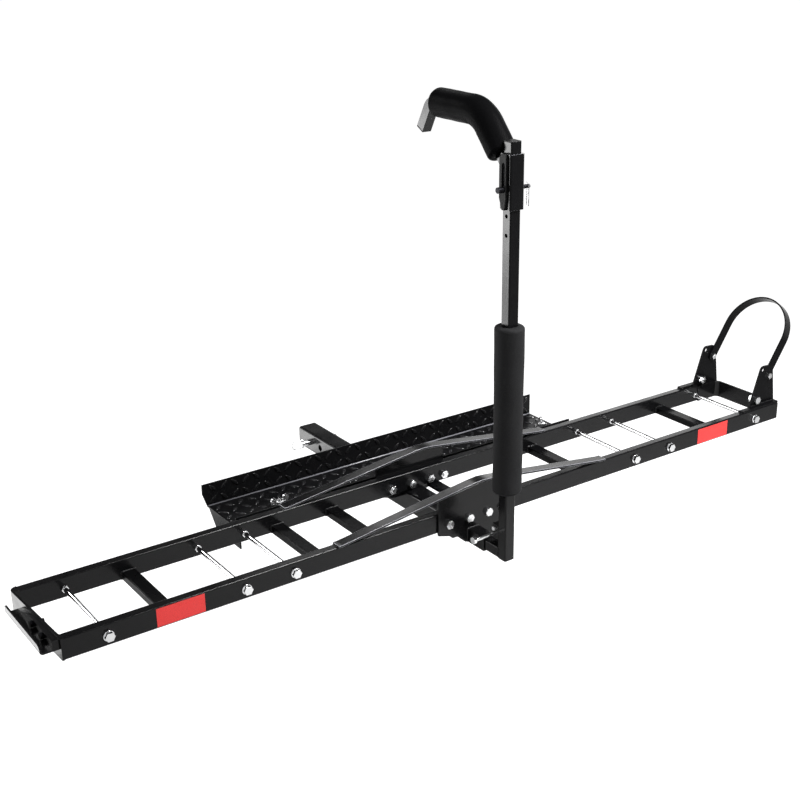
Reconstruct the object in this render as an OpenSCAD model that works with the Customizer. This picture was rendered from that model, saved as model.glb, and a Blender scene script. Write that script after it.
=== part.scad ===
// Hitch carrier for one motorcycle: wheel tray, hitch shank, stabiliser mast, wheel hoop and ramp.
// Millimetres, +Z up, +X along the tray, +Y towards the vehicle.
// The origin is the centre of the free pin hole in the hitch shank.

/* [Tray] */
// length of the tray over both ends
tray_len = 1905; // [1500:5:2200]
// width of the tray over both rails
tray_w = 232; // [180:1:280]
// height of the rails
rail_h = 44; // [30:1:60]
// width of a rail
rail_w = 20; // [15:1:30]
// wall of a rail
rail_wall = 2.5; // [1.5:0.5:4]
// corner radius of the rail tube
rail_r = 3; // [1:0.5:5]
// distance of the hitch shank from the left end of the tray
hitch_from_left = 903.5; // [700:1:1200]
// radius of the rounded rear corner at the left end
corner_r = 14; // [6:1:20]
// thickness of the left end plate
end_t = 5; // [3:0.5:8]
// distance by which the rear corner of the left end stands further out
end_skew = 11; // [0:0.5:12]
// thickness of the bent right end frame
frame_t = 4; // [3:0.5:6]
// length of the wings of the right end frame
frame_wing = 75; // [40:1:80]
// thickness of the caps in the right rail ends
cap_t = 3; // [2:0.5:5]

/* [Cross members] */
// places of the left welded cross bars from the left end
bar_left = [214.5, 546.5, 681]; // [30:1:900]
// places of the right welded cross bars from the right end
bar_right = [654, 217]; // [30:1:900]
// width of a cross bar
bar_w = 29; // [15:1:40]
// height of a cross bar
bar_h = 17; // [8:1:25]
// wall of a cross bar
bar_wall = 2; // [1.5:0.5:4]
// place of the flat bar under the rails from the shank axis
under_bar_x = 52.5; // [45:0.5:90]
// width of the flat bar under the rails
under_bar_w = 30; // [20:1:40]
// thickness of the flat bar under the rails
under_bar_t = 6; // [3:0.5:8]
// places of the left long cross bolts from the left end
rod_left = [86, 362, 469]; // [30:1:900]
// places of the right long cross bolts from the right end
rod_right = [513, 396, 88]; // [30:1:900]
// height of the long cross bolts above the rail bottom
rod_z = 20; // [10:1:34]
// radius of a long cross bolt
rod_r = 5; // [3:0.5:8]

/* [Hitch] */
// side of the square hitch shank
tube = 50; // [38:1:64]
// wall of the hitch shank
tube_wall = 5; // [3:0.5:8]
// corner radius of the hitch shank
tube_r = 6; // [2:0.5:8]
// distance from the tray front to the free pin hole
hole_to_front = 591; // [450:1:700]
// distance between the two pin holes
hole_pitch_y = 50; // [40:1:80]
// distance from the free pin hole to the open end
shank_end = 102; // [80:1:140]
// distance from the tray front to the front end of the shank
shank_front = 45; // [30:1:80]
// radius of the pin holes
pin_hole_r = 8; // [6:0.1:9]
// radius of the hitch pin
pin_r = 7.94; // [6:0.01:9]
// length of the hitch pin past the shank on the clip side
pin_tail = 27; // [20:1:40]
// length of the hitch pin past the shank on the handle side
pin_head = 13; // [8:1:30]
// bend radius of the hitch pin's handle
pin_bend = 14; // [10:1:20]
// drop of the hitch pin's handle below the pin's axis
pin_drop = 62; // [40:1:90]

/* [Gussets and arches] */
// thickness of the gusset plates
gusset_t = 5; // [3:0.5:8]
// half width of a gusset plate
gusset_half = 92; // [80:1:120]
// reach of the front gusset's low edge to the right of the shank axis
gusset_foot = 62; // [44:1:80]
// places of the gusset bolts from the shank axis
gusset_bolt_x = [-65, -11, 40, 78]; // [-90:1:90]
// height of the gusset bolts above the rail bottom
gusset_bolt_z = 16; // [12:1:30]
// radius of the gusset bolts
gusset_bolt_r = 5; // [4:0.5:6]
// half length of an arch between its end tabs
arch_half = 352; // [250:1:450]
// distance of the crest of an arch to the right of the shank axis
arch_x = 25; // [0:1:40]
// rise of an arch above the rails
arch_rise = 46; // [30:1:60]
// length over which the crest of an arch is rounded
arch_round = 12; // [5:1:120]
// thickness of the arch bar
arch_t = 5; // [3:0.5:8]
// width of the arch bar
arch_w = 25; // [20:1:30]
// length of a welded end tab of an arch
arch_tab = 10; // [8:1:40]

/* [Mast] */
// side of the square mast tube
mast = 25; // [20:1:40]
// wall of the mast tube
mast_wall = 2.5; // [1.5:0.5:4]
// corner radius of the mast tube
mast_r = 3; // [1:0.5:5]
// distance from the tray front to the mast axis
mast_front = 118.5; // [80:0.5:160]
// top of the mast above the rail bottom
mast_top = 836; // [600:1:1000]
// wall of the socket that takes the mast foot
socket_wall = 2.6; // [2:0.1:5]
// distance from the tray front to the mouth of the socket
socket_front = 62; // [40:1:80]
// distance from the tray front to the inner end of the socket
socket_back = 60; // [50:1:100]
// clearance of sliding square tubes on each side
slide_gap = 0.4; // [0.3:0.1:0.8]
// diameter of the foam sleeve on the mast
foam_d = 62; // [45:1:80]
// lower end of the foam sleeve above the rail bottom
foam_z0 = 118; // [60:1:200]
// upper end of the foam sleeve above the rail bottom
foam_z1 = 476; // [300:1:600]
// distance from the mast top down to the head pin
head_pin_drop = 88; // [60:1:120]
// distances from the mast top down to its free holes
mast_hole_drop = [177.5, 140]; // [130:0.5:300]
// radius of the head pin
head_pin_r = 4; // [3:0.5:6]
// length of the knob of the head pin
knob_len = 13; // [6:1:20]
// reach of the head pin past the mast axis
head_pin_end = 42; // [30:1:60]
// distance of the clip hole from the end of the head pin
clip_in = 6; // [5:1:12]
// distance from the mast axis to the clamp bolt axis
clamp_y = 21.5; // [18:0.5:30]
// height of the clamp bolt above the rail bottom
clamp_z = 17; // [10:1:40]
// free length of the clamp bolt left of the mast
clamp_out = 53; // [20:1:80]
// radius of the clamp bolt
clamp_r = 4; // [3:0.5:6]

/* [Head] */
// side of the sliding head sleeve
sleeve = 34; // [30:1:45]
// distance from the mast top down to the upper end of the head sleeve
sleeve_drop = 21; // [10:1:40]
// length of the head sleeve
sleeve_len = 106; // [80:1:140]
// slide of the head down from its raised place
head_travel = 45; // [20:1:60]
// thickness of the latch plate on the sleeve
latch_t = 5; // [4:0.5:10]
// distance from the mast axis to the near edge of the latch plate
latch_near = 7.5; // [6:0.5:12]
// side of the square arm tube
arm_side = 22; // [18:1:30]
// distance from the mast top down to where the arm axis meets the back of the sleeve
arm_weld_drop = 39; // [30:1:60]
// lean of the lower arm from the vertical in degrees
arm_lean = 42; // [20:1:60]
// height of the level part of the arm above the mast top
arm_rise = 45; // [30:1:90]
// reach of the level part of the arm past the tray front
arm_y = 118; // [60:1:200]
// bend radius between the lower arm and the level part
arm_bend = 70; // [50:1:90]
// turn of the arm tip below the level part in degrees
tip_turn = 61; // [30:1:90]
// straight length of the arm tip
tip_len = 49; // [20:1:80]
// bend radius of the arm tip
tip_bend = 28; // [20:1:60]
// diameter of the arm pad
pad_d = 60; // [45:1:70]
// bare length of the level part before the arm tip
pad_bare = 2; // [0:1:30]
// bare length of the lower arm under the pad
pad_start = 17; // [10:1:60]

/* [Wheel hoop] */
// thickness of the cheek plates
cheek_t = 5; // [3:0.5:8]
// length of a cheek along the rail, from the right end
cheek_len = 95; // [80:1:140]
// length of a cheek's foot along the rail, from the right end
foot_len = 135; // [100:1:200]
// distance of the base bolt from the right end
base_bolt_in = 69.5; // [50:0.5:85]
// distance of the hoop pivot from the right end
pivot_in = 28.5; // [20:0.5:40]
// height of the hoop pivot above the rail bottom
pivot_z = 120; // [90:1:150]
// height of a cheek above the rail bottom
cheek_top = 150; // [120:1:180]
// radius of the hoop bolts
hoop_bolt_r = 4; // [3:0.5:6]
// width of the hoop strap
strap_w = 25; // [20:1:40]
// thickness of the hoop strap
strap_t = 4; // [3:0.5:6]
// length of the hoop from its pivot to its crest
hoop_len = 193; // [150:1:260]
// outward lean of the hoop in degrees
hoop_lean = 34; // [0:1:45]
// running clearance of a bolt in a turning hole
run_gap = 0.06; // [0.02:0.01:0.1]
// gap between parts that turn past each other
side_gap = 0.3; // [0.3:0.1:1]

/* [Ramp] */
// left end of the ramp from the left end of the tray
ramp_x0 = 470; // [300:1:600]
// right end of the ramp from the left end of the tray
ramp_x1 = 1403; // [1200:1:1700]
// gap from the rear rail to the ramp
ramp_gap = 18; // [16:1:40]
// width of the ramp
ramp_w = 158; // [120:1:220]
// plate thickness of the ramp
ramp_t = 3; // [2:0.5:5]
// height of the rear flange of the ramp
flange_h = 56; // [30:1:70]
// height of the front flange of the ramp
front_flange_h = 38; // [20:1:60]
// cut of the ramp's lower left corners
ramp_cut = 11; // [4:1:30]
// depth of the turned-down lip of the ramp
lip_h = 42; // [10:1:60]
// far end of the lip's upper edge from the ramp's near side
lip_top = 150; // [100:1:155]
// far end of the lip's lower edge from the ramp's near side
lip_foot = 115; // [60:1:150]
// places of the ramp brackets from the left end
bracket_x = [611, 1369]; // [0:1:1905]
// distance from the rear rail to the wing nut studs
stud_y = 84; // [60:1:120]
// radius of the wing nut studs
stud_r = 5; // [4:0.5:6]

/* [Reflective tape] */
// distance of the left tape from the left end
tape_left = 178; // [100:1:300]
// length of the left tape
tape_left_len = 97; // [50:1:150]
// distance of the right tape from the right end
tape_right = 193; // [140:1:300]
// length of the right tape
tape_right_len = 106; // [50:1:150]
// thickness of the tape
tape_t = 0.6; // [0.4:0.1:1]

/* [End hook] */
// reach of the ramp hook past the left end
hook_out = 36; // [25:1:60]
// height of the hook lip
hook_lip = 18; // [12:1:30]
// height of the hook's bolted leaf
hook_leaf_h = 21; // [18:1:22]
// lower face of the hook above the rail bottom
hook_z = 21; // [10:1:22]
// first side of the hook from the tray front
hook_y0 = 6; // [0:1:60]
// far side of the hook from the tray front
hook_y1 = 182; // [120:1:232]
// plate thickness of the hook
hook_t = 4; // [3:0.5:6]
// distance of the outer face of the hook's bolted leaf from the front end of the left end plate
leaf_out = 13.5; // [13:0.5:18]
// level length of the top of the hook's bolted leaf
hook_leaf = 104; // [60:1:160]

/* [Hidden] */
$fn = 48;
eps = 0.01;
hole_gap = 0.1;
black = [0.055, 0.055, 0.06];
zinc = [0.78, 0.78, 0.8];
foam_grey = [0.13, 0.13, 0.135];
tape_red = [0.86, 0.1, 0.1];
x_left = -hitch_from_left;
y_front = -hole_to_front;
z_rail = tube / 2;
rear_y = tray_w - rail_w;
rear_x0 = corner_r - end_skew;
bar_x = concat(bar_left, [for (d = bar_right) tray_len - d]);
rod_x = concat(rod_left, [for (d = rod_right) tray_len - d]);
pivot_x = tray_len - pivot_in;
head_pin_z = mast_top - head_pin_drop;
mast_holes = [for (d = mast_hole_drop) mast_top - d];
sleeve_z1 = mast_top - sleeve_drop;
sleeve_z0 = sleeve_z1 - sleeve_len;
arm_weld_z = mast_top - arm_weld_drop;
arm_z = mast_top + arm_rise;
mast_in = mast - 2 * mast_wall;
arm_in = arm_side - 2 * mast_wall;
sock_in = mast + 2 * slide_gap;
sock = sock_in + 2 * socket_wall;
leg_z = -tube / 2;
leg_back = 50;
head_slot_z0 = head_pin_z - head_pin_r - 1.5;
head_slot_z1 = head_pin_z + head_travel + head_pin_r + 1.5;
sleeve_in = mast + 2 * slide_gap;
latch_x = -sleeve / 2 - latch_t;
washer_t = 2;
nut_h = 8;
nut_r = 9.8;
small_nut_r = 7.5;
small_nut_h = 6;
foot_t = 5;
foot_x = tray_len - foot_len;
spacer_t = 6;
hook_bolt_y = [50, 100];
hook_bolt_z = hook_z + 12;
base_bolt_x = tray_len - base_bolt_in;
base_bolt_z = 62;
base_bolt_r = 5;
cheek_y = [rail_w - cheek_t / 2, rear_y + cheek_t / 2];
hoop_half = (cheek_y[1] - cheek_y[0]) / 2 - cheek_t / 2 - side_gap;
hoop_leg = hoop_len - hoop_half;
ramp_y0 = tray_w + ramp_gap;
ramp_y1 = ramp_y0 + ramp_w;
ramp_z = slide_gap;
bracket_t = 6;
bracket_w = 24;
wire_r = 1.2;

// path of the arm as points with a heading: [y, z, heading], y from the mast axis
arm_h0 = 90 - arm_lean;
arm_elbow_y = sleeve / 2 + (arm_z - arm_weld_z) * tan(arm_lean);
arm_cut = arm_bend * tan(arm_h0 / 2);
arm_c1 = [arm_elbow_y + arm_cut, arm_z - arm_bend];
tip_y = mast_front + arm_y;
tip_c = [tip_y, arm_z - tip_bend];
tip_end = [tip_c[0] + tip_bend * sin(tip_turn), tip_c[1] + tip_bend * cos(tip_turn)];
arm_steps = 12;
arm_start = [0, arm_weld_z - sleeve / 2 / tan(arm_lean), arm_h0];
arm_bend1 = [for (i = [0:arm_steps]) let (a = arm_h0 * (1 - i / arm_steps))
    [arm_c1[0] - arm_bend * sin(a), arm_c1[1] + arm_bend * cos(a), a]];
arm_bend2 = [for (i = [0:arm_steps]) let (a = tip_turn * i / arm_steps)
    [tip_c[0] + tip_bend * sin(a), tip_c[1] + tip_bend * cos(a), -a]];
arm_last = [tip_end[0] + tip_len * cos(tip_turn), tip_end[1] - tip_len * sin(tip_turn), -tip_turn];
arm_path = concat([arm_start], arm_bend1, arm_bend2, [arm_last]);
pad_axis0 = [sleeve / 2 + pad_start * sin(arm_lean), arm_weld_z + pad_start * cos(arm_lean)];

function side(p, d) = [p[0] - d * sin(p[2]), p[1] + d * cos(p[2])];
function ribbon(path, d) = concat([for (p = path) side(p, d)],
    [for (i = [len(path) - 1:-1:0]) side(path[i], -d)]);
function arch_z(x) = arch_rise * (1 - (sqrt(x * x + arch_round * arch_round) - arch_round)
    / (sqrt(arch_half * arch_half + arch_round * arch_round) - arch_round));

// lower edge of an arch as points in x and z above the rails
arch_n = 28;
arch_low = [for (i = [0:arch_n]) let (x = arch_half * (2 * i / arch_n - 1)) [arch_x + x, arch_z(x)]];

// x of the corners of a gusset's top edge, from right to left
gusset_top = concat([gusset_half],
    [for (i = [arch_n:-1:0]) if (abs(arch_low[i][0]) < gusset_half) arch_low[i][0]], [-gusset_half]);

// places a child whose x runs from the left end, y from the tray front, z from the rail bottom
module at_tray() {
    translate([x_left, y_front, z_rail]) children();
}

// the same with x from the shank axis
module at_hitch() {
    translate([0, y_front, z_rail]) children();
}

// the same with y from the mast axis
module at_mast() {
    translate([0, y_front - mast_front, z_rail]) children();
}

// rounded rectangle about the origin
module rrect(w, h, r) {
    square([w - 2 * r, h], center = true);
    square([w, h - 2 * r], center = true);
    for (sx = [-1, 1], sy = [-1, 1])
        translate([sx * (w / 2 - r), sy * (h / 2 - r)]) circle(r);
}

// square section tube along X from x = 0, section about the origin
module tube_x(l, w, h, wall, r) {
    rotate([90, 0, 90]) linear_extrude(l) difference() {
        rrect(w, h, r);
        rrect(w - 2 * wall, h - 2 * wall, max(r - wall, 0.5));
    }
}

// square section tube along Y from y = 0
module tube_y(l, w, h, wall, r) {
    rotate([-90, 0, 0]) linear_extrude(l) difference() {
        rrect(w, h, r);
        rrect(w - 2 * wall, h - 2 * wall, max(r - wall, 0.5));
    }
}

// hole through y, from y0 to y1
module hole_y(r, y0, y1) {
    translate([0, y0, 0]) rotate([-90, 0, 0]) cylinder(r = r, h = y1 - y0);
}

// hexagon along Y from y0 to y1
module hex_y(r, y0, y1) {
    translate([0, y0, 0]) rotate([-90, 0, 0]) cylinder(r = r, h = y1 - y0, $fn = 6);
}

// nut along Y with a bore
module nut_y(r, bore, y0, y1) {
    difference() {
        hex_y(r, y0, y1);
        hole_y(bore, y0 - 1, y1 + 1);
    }
}

// rail from x0 to its cap, drilled for the bolts
module rail_shape(x0) {
    difference() {
        translate([x0, rail_w / 2, rail_h / 2])
            tube_x(tray_len - x0 - cap_t, rail_w, rail_h, rail_wall, rail_r);
        for (x = rod_x) translate([x, 0, rod_z]) hole_y(rod_r + hole_gap, -1, rail_w + 1);
        for (x = gusset_bolt_x) translate([hitch_from_left + x, 0, gusset_bolt_z])
            hole_y(gusset_bolt_r + hole_gap, -1, rail_w + 1);
    }
}

module front_rail() {
    color(black) at_tray() rail_shape(end_t);
}

module rear_rail() {
    color(black) at_tray() translate([0, rear_y, 0]) rail_shape(rear_x0);
}

module left_end_plate() {
    color(black) at_tray() difference() {
        linear_extrude(rail_h) {
            polygon([[0, 0], [end_t, 0], [end_t, rail_w], [end_t - end_skew * rail_w / rear_y, rail_w],
                [end_t - end_skew, rear_y], [rear_x0, rear_y], [rear_x0, tray_w - corner_r],
                [-end_skew, tray_w - corner_r], [-end_skew, rear_y]]);
            intersection() {
                translate([rear_x0, tray_w - corner_r]) circle(corner_r);
                translate([-end_skew, rear_y]) square([corner_r, rail_w]);
            }
        }
        for (y = hook_bolt_y) translate([-end_skew - 1, y, hook_bolt_z]) rotate([0, 90, 0])
            cylinder(r = clamp_r + hole_gap, h = end_skew + end_t + 2);
    }
}

module right_end_frame() {
    color(black) at_tray() linear_extrude(rail_h) difference() {
        translate([tray_len - frame_wing, tray_w / 2]) union() {
            translate([0, -tray_w / 2 + rail_w]) square([frame_wing - 16, rear_y - rail_w]);
            translate([0, -tray_w / 2 + rail_w + 16]) square([frame_wing, rear_y - rail_w - 32]);
            for (s = [-1, 1]) translate([frame_wing - 16, s * (tray_w / 2 - rail_w - 16)]) circle(16);
        }
        translate([tray_len - frame_wing - 1, tray_w / 2]) union() {
            translate([0, -tray_w / 2 + rail_w + frame_t])
                square([frame_wing - 15, rear_y - rail_w - 2 * frame_t]);
            translate([0, -tray_w / 2 + rail_w + 16])
                square([frame_wing + 1 - frame_t, rear_y - rail_w - 32]);
            for (s = [-1, 1]) translate([frame_wing - 15, s * (tray_w / 2 - rail_w - 16)])
                circle(16 - frame_t);
        }
    }
}

module rail_caps() {
    color(black) at_tray() for (y = [rail_w / 2, tray_w - rail_w / 2])
        translate([tray_len - cap_t, y, rail_h / 2]) rotate([90, 0, 90])
            linear_extrude(cap_t) rrect(rail_w, rail_h, rail_r);
}

module cross_bars() {
    color(black) at_tray() for (x = bar_x)
        translate([x, rail_w, bar_h / 2]) tube_y(rear_y - rail_w, bar_w, bar_h, bar_wall, 2.5);
    color(black) at_hitch() translate([under_bar_x - under_bar_w / 2, 0, -under_bar_t])
        cube([under_bar_w, tray_w, under_bar_t]);
}

module cross_bolts() {
    color(zinc) at_tray() for (x = rod_x) translate([x, 0, rod_z]) {
        hex_y(nut_r, -washer_t - 7, -washer_t);
        hole_y(rod_r, -washer_t - eps, tray_w + washer_t + nut_h + 3);
    }
}

module cross_bolt_washers() {
    color(zinc) at_tray() for (x = rod_x) translate([x, 0, rod_z])
        for (y = [-washer_t, tray_w]) difference() {
            hole_y(10.5, y, y + washer_t);
            hole_y(rod_r, y - 1, y + washer_t + 1);
        }
}

module cross_bolt_nuts() {
    color(zinc) at_tray() for (x = rod_x) translate([x, 0, rod_z]) {
        nut_y(nut_r, rod_r, tray_w + washer_t, tray_w + washer_t + nut_h);
        nut_y(small_nut_r, rod_r, rear_y - small_nut_h, rear_y);
    }
}

// outline of a gusset in x and z, its top edge under the arch
module gusset_outline(low, foot) {
    polygon(concat(
        [[-gusset_half, -5], [-44, -19], [-20, -low], [20, -low], foot, [gusset_half, -5]],
        [for (x = gusset_top) [x, rail_h + lookup(x, arch_low)]]));
}

module front_gusset() {
    color(black) at_hitch() difference() {
        rotate([90, 0, 0]) linear_extrude(gusset_t)
            gusset_outline(sock / 2 - leg_z, [gusset_foot, leg_z - sock / 2 + 2]);
        for (x = gusset_bolt_x) translate([x, 0, gusset_bolt_z])
            hole_y(gusset_bolt_r + hole_gap, -gusset_t - 1, 1);
        translate([-sock / 2, -gusset_t - 1, leg_z - sock / 2]) cube([sock, gusset_t + 2, sock]);
    }
}

module rear_gusset() {
    color(black) at_hitch() translate([0, tray_w + gusset_t, 0]) difference() {
        rotate([90, 0, 0]) linear_extrude(gusset_t) gusset_outline(19, [44, -19]);
        for (x = gusset_bolt_x) translate([x, 0, gusset_bolt_z])
            hole_y(gusset_bolt_r + hole_gap, -gusset_t - 1, 1);
        translate([-tube / 2, -gusset_t - 1, -tube]) cube([tube, gusset_t + 2, tube]);
    }
}

module gusset_bolts() {
    color(zinc) at_hitch() for (x = gusset_bolt_x) translate([x, 0, gusset_bolt_z]) {
        hex_y(nut_r, -gusset_t - 7, -gusset_t);
        hole_y(gusset_bolt_r, -gusset_t - eps, rail_w + 11);
        hex_y(nut_r, tray_w + gusset_t, tray_w + gusset_t + 7);
        hole_y(gusset_bolt_r, rear_y - 11, tray_w + gusset_t + eps);
    }
}

module gusset_nuts() {
    color(zinc) at_hitch() for (x = gusset_bolt_x) translate([x, 0, gusset_bolt_z]) {
        nut_y(nut_r, gusset_bolt_r, rail_w, rail_w + nut_h);
        nut_y(nut_r, gusset_bolt_r, rear_y - nut_h, rear_y);
    }
}

// curved flat bar in x and z with level end tabs
module arch_outline() {
    x0 = arch_x - arch_half - arch_tab;
    x1 = arch_x + arch_half + arch_tab;
    polygon(concat(
        [[x0, 0]], arch_low, [[x1, 0], [x1, arch_t]],
        [for (i = [arch_n:-1:0]) arch_low[i] + [0, arch_t]], [[x0, arch_t]]));
}

module front_arch() {
    color(black) at_hitch() translate([0, -gusset_t + arch_w, rail_h])
        rotate([90, 0, 0]) linear_extrude(arch_w) arch_outline();
}

module rear_arch() {
    color(black) at_hitch() translate([0, tray_w + gusset_t, rail_h])
        rotate([90, 0, 0]) linear_extrude(arch_w) arch_outline();
}

module hitch_tube() {
    l = hole_to_front - shank_front + shank_end;
    color(black) difference() {
        translate([0, -hole_to_front + shank_front, 0]) tube_y(l, tube, tube, tube_wall, tube_r);
        for (y = [0, hole_pitch_y]) translate([-tube, y, 0]) rotate([0, 90, 0])
            cylinder(r = pin_hole_r, h = 2 * tube);
    }
}

module tube_front_plate() {
    color(black) at_hitch() translate([0, shank_front, leg_z]) rotate([90, 0, 0])
        linear_extrude(5) difference() {
            rrect(tube, tube, tube_r);
            square([sock, sock], center = true);
        }
}

module mast_socket() {
    l = socket_front + socket_back;
    color(black) at_hitch() difference() {
        translate([-sock / 2, -socket_front, leg_z - sock / 2]) cube([sock, l, sock]);
        translate([-sock_in / 2, -socket_front - 1, leg_z - sock_in / 2]) cube([sock_in, l + 2, sock_in]);
    }
}

// plate from y0 to y1 with its upper near corner rounded, in y and z
module hook_lip_outline() {
    r = 12;
    translate([hook_y0, 0]) square([hook_y1 - hook_y0, hook_lip - r]);
    translate([hook_y0 + r, 0]) square([hook_y1 - hook_y0 - r, hook_lip]);
    translate([hook_y0 + r, hook_lip - r]) circle(r);
}

// everything left of the outer face of the left end plate
module left_of_end() {
    linear_extrude(rail_h + tray_w)
        polygon([[-tray_w, 0], [0, 0], [-end_skew * tray_w / rear_y, tray_w], [-tray_w, tray_w]]);
}

module hook_bracket() {
    bend = 7;
    color(black) at_tray() difference() {
        intersection() {
            translate([0, 0, hook_z]) union() {
                translate([0, hook_y1, 0]) rotate([90, 0, 0]) linear_extrude(hook_y1 - hook_y0) {
                    translate([-hook_out + bend, 0]) square([hook_out - bend, hook_t]);
                    intersection() {
                        translate([-hook_out, 0]) square(bend);
                        translate([-hook_out + bend, bend]) difference() {
                            circle(bend);
                            circle(bend - hook_t);
                        }
                    }
                }
                intersection() {
                    translate([-hook_out, 0, 0]) rotate([90, 0, 90]) linear_extrude(hook_t)
                        hook_lip_outline();
                    translate([-hook_out, 0, bend]) cube([hook_t, tray_w, rail_h]);
                }
                translate([-leaf_out, 0, 0]) rotate([90, 0, 90]) linear_extrude(leaf_out)
                    polygon([[hook_y0, hook_t], [hook_y1, hook_t],
                        [hook_y0 + hook_leaf, hook_leaf_h], [hook_y0, hook_leaf_h]]);
            }
            left_of_end();
        }
        for (y = hook_bolt_y) translate([-leaf_out - 1, y, hook_bolt_z]) rotate([0, 90, 0])
            cylinder(r = clamp_r + hole_gap, h = leaf_out + 2);
    }
}

module hook_bolts() {
    color(zinc) at_tray() for (y = hook_bolt_y) translate([-leaf_out, y, hook_bolt_z]) rotate([0, 90, 0]) {
        translate([0, 0, -6]) cylinder(r = small_nut_r, h = 6, $fn = 6);
        translate([0, 0, -eps]) cylinder(r = clamp_r, h = leaf_out + end_t + 2);
    }
}

module reflectors() {
    tapes = [[tape_left, tape_left_len], [tray_len - tape_right - tape_right_len, tape_right_len]];
    color(tape_red) at_tray() for (t = tapes)
        translate([t[0], -tape_t, rail_r]) cube([t[1], tape_t, rail_h - 2 * rail_r]);
}

module cheek_feet() {
    color(black) at_tray() for (y = [1, rear_y + cheek_t])
        translate([foot_x, y, rail_h]) cube([tray_len - foot_x, rail_w - cheek_t - 1, foot_t]);
}

// outline of a cheek in x and z from the left end and the rail bottom
module cheek_outline() {
    r1 = 13;
    r2 = 15;
    c1 = [pivot_x - 21, cheek_top - r1];
    c2 = [pivot_x - 1, cheek_top - 1 - r2];
    polygon(concat([[tray_len - cheek_len, rail_h], [tray_len - 1, rail_h]],
        [for (a = [8:10:88]) [c2[0] + r2 * cos(a), c2[1] + r2 * sin(a)]],
        [for (a = [92:10:162]) [c1[0] + r1 * cos(a), c1[1] + r1 * sin(a)]]));
}

module cheek_shape(y) {
    at_tray() difference() {
        translate([0, y + cheek_t / 2, 0]) rotate([90, 0, 0]) linear_extrude(cheek_t) cheek_outline();
        translate([pivot_x, y, pivot_z]) hole_y(hoop_bolt_r + hole_gap, -cheek_t, cheek_t);
        translate([pivot_x - 23, y, cheek_top - 11]) hole_y(5, -cheek_t, cheek_t);
        translate([base_bolt_x, y, base_bolt_z]) hole_y(base_bolt_r + hole_gap, -cheek_t, cheek_t);
    }
}

module front_cheek() {
    color(black) cheek_shape(cheek_y[0]);
}

module rear_cheek() {
    color(black) cheek_shape(cheek_y[1]);
}

// places a child on both cheeks at x and z, its y from the middle of the cheek towards the tray
module on_cheeks(x, z) {
    at_tray() for (s = [0, 1]) translate([x, cheek_y[s], z]) mirror([0, s, 0]) children();
}

module cheek_spacers() {
    color(zinc) on_cheeks(base_bolt_x, base_bolt_z) difference() {
        hole_y(8, cheek_t / 2, cheek_t / 2 + spacer_t);
        hole_y(base_bolt_r, 0, 20);
    }
}

module cheek_bolts() {
    color(zinc) on_cheeks(base_bolt_x, base_bolt_z) {
        hex_y(nut_r, -cheek_t / 2 - 6.5, -cheek_t / 2);
        hole_y(base_bolt_r, -cheek_t / 2 - eps, cheek_t / 2 + spacer_t + nut_h + 3);
    }
}

module cheek_nuts() {
    color(zinc) on_cheeks(base_bolt_x, base_bolt_z)
        translate([0, cheek_t / 2 + spacer_t, 0]) nut_y(nut_r, base_bolt_r, 0, nut_h);
}

module hoop_bolts() {
    color(zinc) on_cheeks(pivot_x, pivot_z) {
        hex_y(small_nut_r, -cheek_t / 2 - 5.5, -cheek_t / 2);
        hole_y(hoop_bolt_r, -cheek_t / 2 - eps, cheek_t / 2 + strap_t + 2 * side_gap + small_nut_h + 2);
    }
}

module hoop_nuts() {
    color(zinc) on_cheeks(pivot_x, pivot_z) translate([0, cheek_t / 2 + strap_t + 2 * side_gap, 0])
        nut_y(small_nut_r, hoop_bolt_r, 0, small_nut_h);
}

// strap bent to a hoop about the pivot axis, crest up
module hoop_shape() {
    difference() {
        union() {
            rotate([90, 0, 90]) translate([0, 0, -strap_w / 2]) linear_extrude(strap_w) difference() {
                union() {
                    intersection() {
                        translate([0, hoop_leg]) circle(hoop_half, $fn = 96);
                        translate([-tray_w, hoop_leg - 1]) square([2 * tray_w, tray_w]);
                    }
                    translate([-hoop_half, 0]) square([2 * hoop_half, hoop_leg]);
                }
                translate([0, hoop_leg]) circle(hoop_half - strap_t, $fn = 96);
                translate([-hoop_half + strap_t, -1])
                    square([2 * (hoop_half - strap_t), hoop_leg + 1]);
            }
            for (s = [-1, 1]) translate([0, s * (hoop_half - strap_t / 2), 0])
                hole_y(strap_w / 2, -strap_t / 2, strap_t / 2);
        }
        hole_y(hoop_bolt_r + run_gap, -tray_w, tray_w);
    }
}

module wheel_hoop() {
    color(black) at_tray() translate([pivot_x, tray_w / 2, pivot_z])
        rotate([0, hoop_lean, 0]) hoop_shape();
}

module ramp_brackets() {
    color(black) at_tray() for (x = bracket_x) difference() {
        translate([x - bracket_w / 2, tray_w, -bracket_t]) union() {
            cube([bracket_w, ramp_gap + ramp_w - 6, bracket_t]);
            cube([bracket_w, 5, rail_h - 8]);
        }
        translate([x, tray_w + stud_y, -bracket_t - 1]) cylinder(r = stud_r + slide_gap, h = bracket_t + 2);
    }
}

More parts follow.
